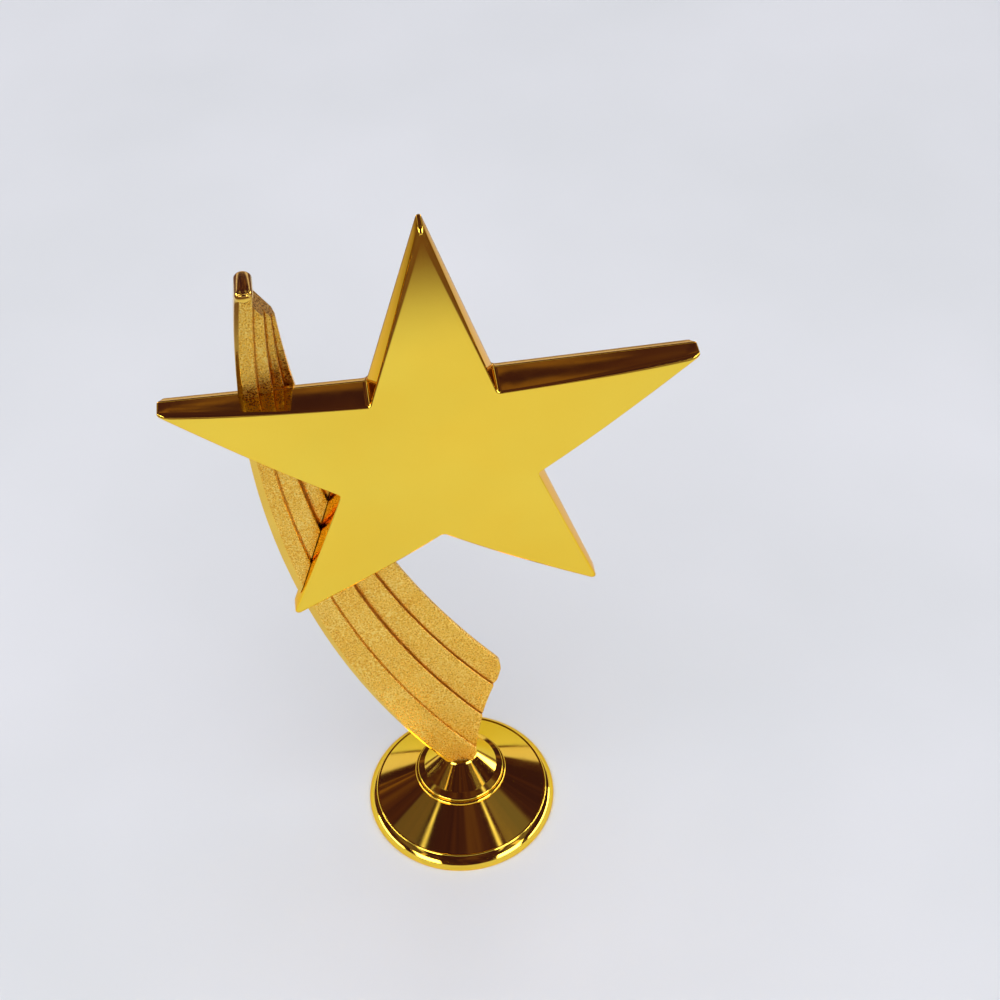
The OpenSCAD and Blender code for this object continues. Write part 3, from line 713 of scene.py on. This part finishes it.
tail = {
    # bands: heights where their edges are given, the outer edge there, and the four widths at each
    "levels": (40, 110, 175), "outer": (-16.4, -40.6, -42.3),
    "widths": ((10, 10.7, 12.2, 9.5), (6, 5.4, 4.8, 5), (4, 2.3, 1.4, 0.6)),
    "faceLow": (-3.5, -3.2, -2.9, -2.7), "faceTop": (1.1, 2.1, 4.6, 6.3), "faceLevels": (20, 185),
    "back": (4.4, 8.3), "bottom": 19.6, "endX": (4, 6.3, 12.6), "endZ": (21, 37.5, 55.5),
    "cornerRound": 3.0, "finTop": 181.6, "bandTop": (178.4, 56), "thinEdge": 1.2, "rows": 90,
    # polished outer bevel: size from low to high, then shares of it across and deep, and the back's round
    "bevelWide": (0.9, 1.9, 1.0), "bevelDeep": (0.4, 0.8, 0.9),
    "bevelSteps": ((0, 1.35, 0.6), (0.03, 1.12, 0.42), (0.12, 0.92, 0.2), (0.4, 0.6, 0.04), (0.7, 0.28, 0),
                   (0.88, 0.09, 0), (1.0, 0.02, 0)),
    "groove": (0.3, 0.32), "grooveLip": ((0.3, 0), (0.09, 0.05), (0, 0.2)), "lipShrink": 2.2,
    # thin inner edge: distance from it, and drop of the face
    "innerEdge": ((2.6, 0), (2.2, 0), (1.8, 0), (1.4, 0), (1.0, 0), (0.65, 0), (0.3, 0), (0.09, 0.06),
                  (0.0, 0.28)),
    "edgeShrink": 4, "slantShare": 0.7,
    "pocket": (42, 80), "pocketSkin": 2, "ledge": 1.2, "coverDeep": 1.65,
    "taps": ((-38, 147.5), (-25.5, 101)), "tapHole": 1.75, "tapHead": 1.4, "tapSunk": 0.3,
    "noseWider": 0.02, "noseProud": 0.3, "noseDeep": 1.5, "noseBack": ((0.6, 0), (0.2, 0.15), (0.02, 0.5)),
    "starGap": 0.15, "starFrom": -14}


def circleThrough(a, b, c):
    (ax, az), (bx, bz), (cx, cz) = a, b, c
    d = 2 * (ax * (bz - cz) + bx * (cz - az) + cx * (az - bz))
    sa, sb, sc = ax * ax + az * az, bx * bx + bz * bz, cx * cx + cz * cz
    x = (sa * (bz - cz) + sb * (cz - az) + sc * (az - bz)) / d
    z = (sa * (cx - bx) + sb * (ax - cx) + sc * (bx - ax)) / d
    return x, z, math.hypot(ax - x, az - z)


def bandCircle(q):
    # edge q of the bands: 0 is the outer one, 4 the inner one, and fractions lie between
    points = []
    for level, outer, widths in zip(tail["levels"], tail["outer"], tail["widths"]):
        x = outer + sum(w * min(max(q - n, 0), 1) for n, w in enumerate(widths))
        points.append((x, level))
    return circleThrough(*points)


def edgeX(q, grow, z):
    x, middle, radius = bandCircle(q)
    return x - math.sqrt((radius + grow) ** 2 - (z - middle) ** 2)


def between(low, top, z):
    z0, z1 = tail["faceLevels"]
    return low + (top - low) * (z - z0) / (z1 - z0)


def faceY(n, z):
    return between(tail["faceLow"][n], tail["faceTop"][n], z)


def backY(z):
    return between(tail["back"][0], tail["back"][1], z)


def bandWidth(n, z):
    return edgeX(n + 1, 0, z) - edgeX(n, 0, z)


def levelValue(values, z):
    low, middle, top = tail["levels"]
    if z < middle:
        return values[0] + (values[1] - values[0]) * smoothStep(low, middle, z)
    return values[1] + (values[2] - values[1]) * smoothStep(middle, top, z)


# slot 2 is the darker groove gold, painted shade in the grooves
tailFinishes = [sandGold, polishedGold, grooveShadeGold]
endCircle = circleThrough(*zip(tail["endX"], tail["endZ"]))
innerCircle = bandCircle(4)


def outsideEnd(x, z):
    # above zero inside the tail: the lower end and the inner edge, with the corner between them rounded
    fromEnd = math.hypot(x - endCircle[0], z - endCircle[1]) - endCircle[2]
    fromInner = math.hypot(x - innerCircle[0], z - innerCircle[1]) - innerCircle[2]
    r = tail["cornerRound"]
    if fromEnd < r and fromInner < r:
        return r - math.hypot(r - fromEnd, r - min(max(fromInner, 0), r))
    return fromEnd


def lowEnd(q, grow):
    low, high = tail["bottom"], 75.0
    if outsideEnd(edgeX(q, grow, low), low) > 0:
        return low
    for _ in range(50):
        middle = (low + high) / 2
        if outsideEnd(edgeX(q, grow, middle), middle) > 1e-4:
            high = middle
        else:
            low = middle
    return high


def finEnd(q, grow):
    z = tail["finTop"]
    left, right = edgeX(0, 0, z), edgeX(1, 0, z)
    half = (right - left) / 2
    x = edgeX(q, grow, z)
    return z + math.sqrt(max(half ** 2 - (x - (left + right) / 2) ** 2, 0)) - 0.5


def bandEnd(q, grow):
    z, slant = tail["bandTop"]
    start = edgeX(1, 0, z)
    low, high = 150.0, z
    for _ in range(40):
        middle = (low + high) / 2
        if middle < z - (edgeX(q, grow, middle) - start) * math.tan(math.radians(slant)):
            low = middle
        else:
            high = middle
    return low


def at(value, z):
    return value(z) if callable(value) else value


def columnSolid(name, columns, topEnd):
    # each column is (edge, sideways shift, front, back, finish) and runs up the whole tail
    rows = tail["rows"]
    verts, faces, slots = [], [], []
    for q, shift, front, back, _ in columns:
        span = []
        low, _, high = tail["levels"]
        z0 = lowEnd(q, at(shift, low))
        z1 = topEnd(q, at(shift, high))
        for r in range(rows + 1):
            z = z0 + (z1 - z0) * r / rows
            span.append((edgeX(q, at(shift, z), z), front(z), back(z), z))
        verts += [(x, f, z) for x, f, b, z in span] + [(x, b, z) for x, f, b, z in span]
    stride = rows + 1
    for c in range(len(columns) - 1):
        for side in (0, 1):
            here = (2 * c + side) * stride
            there = here + 2 * stride
            for r in range(rows):
                faces.append((here + r, here + r + 1, there + r + 1, there + r))
                slots.append(columns[c][4] if side == 0 else 0)
        for r in (0, rows):
            a, b = 2 * c * stride + r, 2 * (c + 1) * stride + r
            faces.append((a, b, b + stride, a + stride))
            slots.append(0)
    for c in (0, len(columns) - 1):
        here = 2 * c * stride
        for r in range(rows):
            faces.append((here + r, here + r + 1, here + stride + r + 1, here + stride + r))
            slots.append(1 if c == 0 and columns[0][4] else 0)
    piece = meshObject(name, verts, faces, slots, tailFinishes)
    weld(piece, 0.004)
    return piece


def firstBand():
    grooveHalf = tail["groove"][0] / 2
    lipOut, nearOut = tail["grooveLip"][0][0], 0.1

    def face(z):
        return faceY(0, z)

    columns = []
    for wide, deep, lift in tail["bevelSteps"]:
        columns.append((
            0, lambda z, w=wide: -levelValue(tail["bevelWide"], z) * w,
            lambda z, d=deep: face(z) + levelValue(tail["bevelDeep"], z) * d,
            lambda z, b=lift: backY(z) - b, 1 if wide < 1 else 0))
    columns.append((0, lambda z: -levelValue(tail["bevelWide"], z) * 1.12, face, backY, 0))
    columns += [(0.6, 0, face, backY, 0), (0.8, 0, face, backY, 0), (1, grooveHalf + lipOut, face, backY, 0)]
    columns.append((1, grooveHalf + nearOut, lambda z: face(z) + 0.05, backY, 0))
    columns.append((1, grooveHalf, lambda z: face(z) + 0.22, backY, 0))
    return columnSolid("tailBands", columns, finEnd)


def otherBands():
    grooveWide, grooveDeep = tail["groove"]
    # finish 2 on the groove walls is painted shade
    columns = [
        (1, 1.2, lambda z: faceY(1, z) + grooveDeep, lambda z: backY(z) - 0.15, 0),
        (1, 0.1, lambda z: faceY(1, z) + grooveDeep, lambda z: backY(z) - 0.15, 2),
        (1, 0.0, lambda z: faceY(1, z) + grooveDeep, backY, 2)]

    def addLine(n, side, out, band, drop, finish=0):
        # side is +1 on the outer side of edge n and -1 on its inner side
        def shift(z):
            narrow = min(bandWidth(max(n - 1, 0), z), bandWidth(min(n, 3), z))
            return side * min(1, narrow / tail["lipShrink"]) * (grooveWide / 2 + out)
        columns.append((n, shift, lambda z: faceY(band, z) + drop, backY, finish))

    for n in (1, 2, 3):
        if n > 1:
            columns.append((n - 0.65, 0, lambda z, b=n - 1: faceY(b, z), backY, 0))
            columns.append((n - 0.35, 0, lambda z, b=n - 1: faceY(b, z), backY, 0))
            for out, drop in tail["grooveLip"]:
                addLine(n, 1, out, n - 1, drop, 0 if out else 2)
            addLine(n, 1, 0, n, grooveDeep, 2)
        addLine(n, -1, 0, n, grooveDeep, 2)
        for out, drop in reversed(tail["grooveLip"]):
            addLine(n, -1, out, n, drop)

    def thin(z):
        return faceY(3, z) + tail["thinEdge"]

    def bevelRun(z):
        return min(backY(z) - thin(z), bandWidth(3, z) * tail["slantShare"])

    # the inner edge is thin: its back rises at a slant as the line moves away from the edge
    for out, drop in ((None, 0),) + tail["innerEdge"]:
        def shift(z, out=out):
            return bevelRun(z) if out is None else out * min(1, bandWidth(3, z) / tail["edgeShrink"])

        def rise(z, shift=shift):
            return thin(z) + (backY(z) - thin(z)) * shift(z) / bevelRun(z)

        columns.append((4, shift, lambda z, d=drop: faceY(3, z) + d, rise, 0))
    return columnSolid("otherBands", columns, bandEnd)


def prismAcross(name, outline, front, back):
    count = len(outline)
    verts = [(x, front(z), z) for x, z in outline] + [(x, back(z), z) for x, z in outline]
    faces = [tuple(range(count)), tuple(reversed(range(count, 2 * count)))]
    faces += [(i, (i + 1) % count, (i + 1) % count + count, i + count) for i in range(count)]
    piece = meshObject(name, verts, faces, materials=tailFinishes)
    weld(piece)
    return piece


def starCutter():
    points = []
    arm = armOutline(-tail["starGap"], star["tipRound"], star["cornerRound"])
    for k in range(5):
        turn = Matrix.Rotation(math.radians(star["turn"] - 72 * k), 2)
        points += [turn @ p for p in arm[:-1]]
    outline = [(p.x + star["x"], p.y + star["z"]) for p in points]
    return prismAcross("starCutter", outline, lambda z: tail["starFrom"], lambda z: star["backY"])


def roundBar(name, x, z, stations, sides=40):
    # stations are (y, radius) along the bar's axis, which runs front to back
    verts, faces = [], []
    turns = [math.tau * i / sides for i in range(sides)]
    for y, radius in stations:
        verts += [(x + radius * math.cos(a), y, z + radius * math.sin(a)) for a in turns]
    for s in range(len(stations) - 1):
        faces += [(s * sides + i, s * sides + (i + 1) % sides, (s + 1) * sides + (i + 1) % sides,
                   (s + 1) * sides + i) for i in range(sides)]
    faces += [tuple(range(sides)), tuple(range((len(stations) - 1) * sides, len(stations) * sides))]
    piece = meshObject(name, verts, faces, materials=tailFinishes)
    weld(piece)
    return piece


def finNose():
    # polished round end of the first band, a little proud of its face
    z = tail["finTop"]
    left, right = edgeX(0, 0, z), edgeX(1, 0, z)
    radius = (right - left) / 2 + tail["noseWider"]
    front = faceY(0, z) - tail["noseProud"]
    turns = [math.radians(a) for a in (0, 8, 16, 25, 34, 44, 54, 64, 74, 82, 90)]
    deep = tail["noseDeep"]
    stations = [(front + deep * (1 - math.cos(a)), max(radius * math.sin(a), 0.02)) for a in turns]
    end = backY(z)
    stations += [(end - short, radius - inset) for short, inset in tail["noseBack"]]
    nose = roundBar("finNose", (left + right) / 2, z, stations, 56)
    nose.data.polygons.foreach_set("material_index", [1] * len(nose.data.polygons))
    return nose


def pocketCutter(grow, y0, y1):
    # the hollow's outline between edges 1 and 3, open to the back
    z0, z1 = tail["pocket"]
    steps = 40
    levels = [z0 - grow + (z1 - z0 + 2 * grow) * i / steps for i in range(steps + 1)]
    left = [(edgeX(1, grow, z), z) for z in levels]
    right = []
    for z in levels:
        x = edgeX(3, -grow, z)
        reach = endCircle[2] + 3 - grow
        if abs(z - endCircle[1]) < reach:
            x = min(x, endCircle[0] - math.sqrt(reach ** 2 - (z - endCircle[1]) ** 2))
        right.append((x, z))
    return prismAcross("pocketCutter", left + list(reversed(right)), y0, y1)


def makeTail():
    piece = firstBand()
    combine(piece, otherBands(), "UNION")
    combine(piece, finNose(), "UNION")
    combine(piece, starCutter(), "DIFFERENCE")
    combine(piece, pocketCutter(0, lambda z: faceY(2, z) + tail["pocketSkin"], lambda z: backY(z) + 1),
            "DIFFERENCE")
    combine(piece, pocketCutter(tail["ledge"], lambda z: backY(z) - tail["coverDeep"],
                                lambda z: backY(z) + 1), "DIFFERENCE")
    hole, headSize = tail["tapHole"], tail["tapHead"]
    for x, z in tail["taps"]:
        head = backY(z) - tail["tapSunk"]
        combine(piece, roundBar("tapCutter", x, z, [(star["backY"] - 1, hole), (head - headSize, hole),
                (head, hole + headSize), (backY(z) + 1, hole + headSize)]), "DIFFERENCE")
    weld(piece, 0.001)
    smoothShade(piece, 28)
    place(piece, "tail", "grained_gold")


makeTail()
print("tail made")


carried = {
    "star_screws": zincSteel, "tail_cover": plateGold, "tail_insert": turnedBrass, "foot_weight": castIron,
    "tie_screw": zincSteel, "tie_washer": zincSteel, "foot_pad": feltFoam}
for node, material in carried.items():
    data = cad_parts[node].data
    if not data.materials:
        data.materials.append(material)
    for i in range(len(data.materials)):
        data.materials[i] = material
print("carried-over nodes painted")
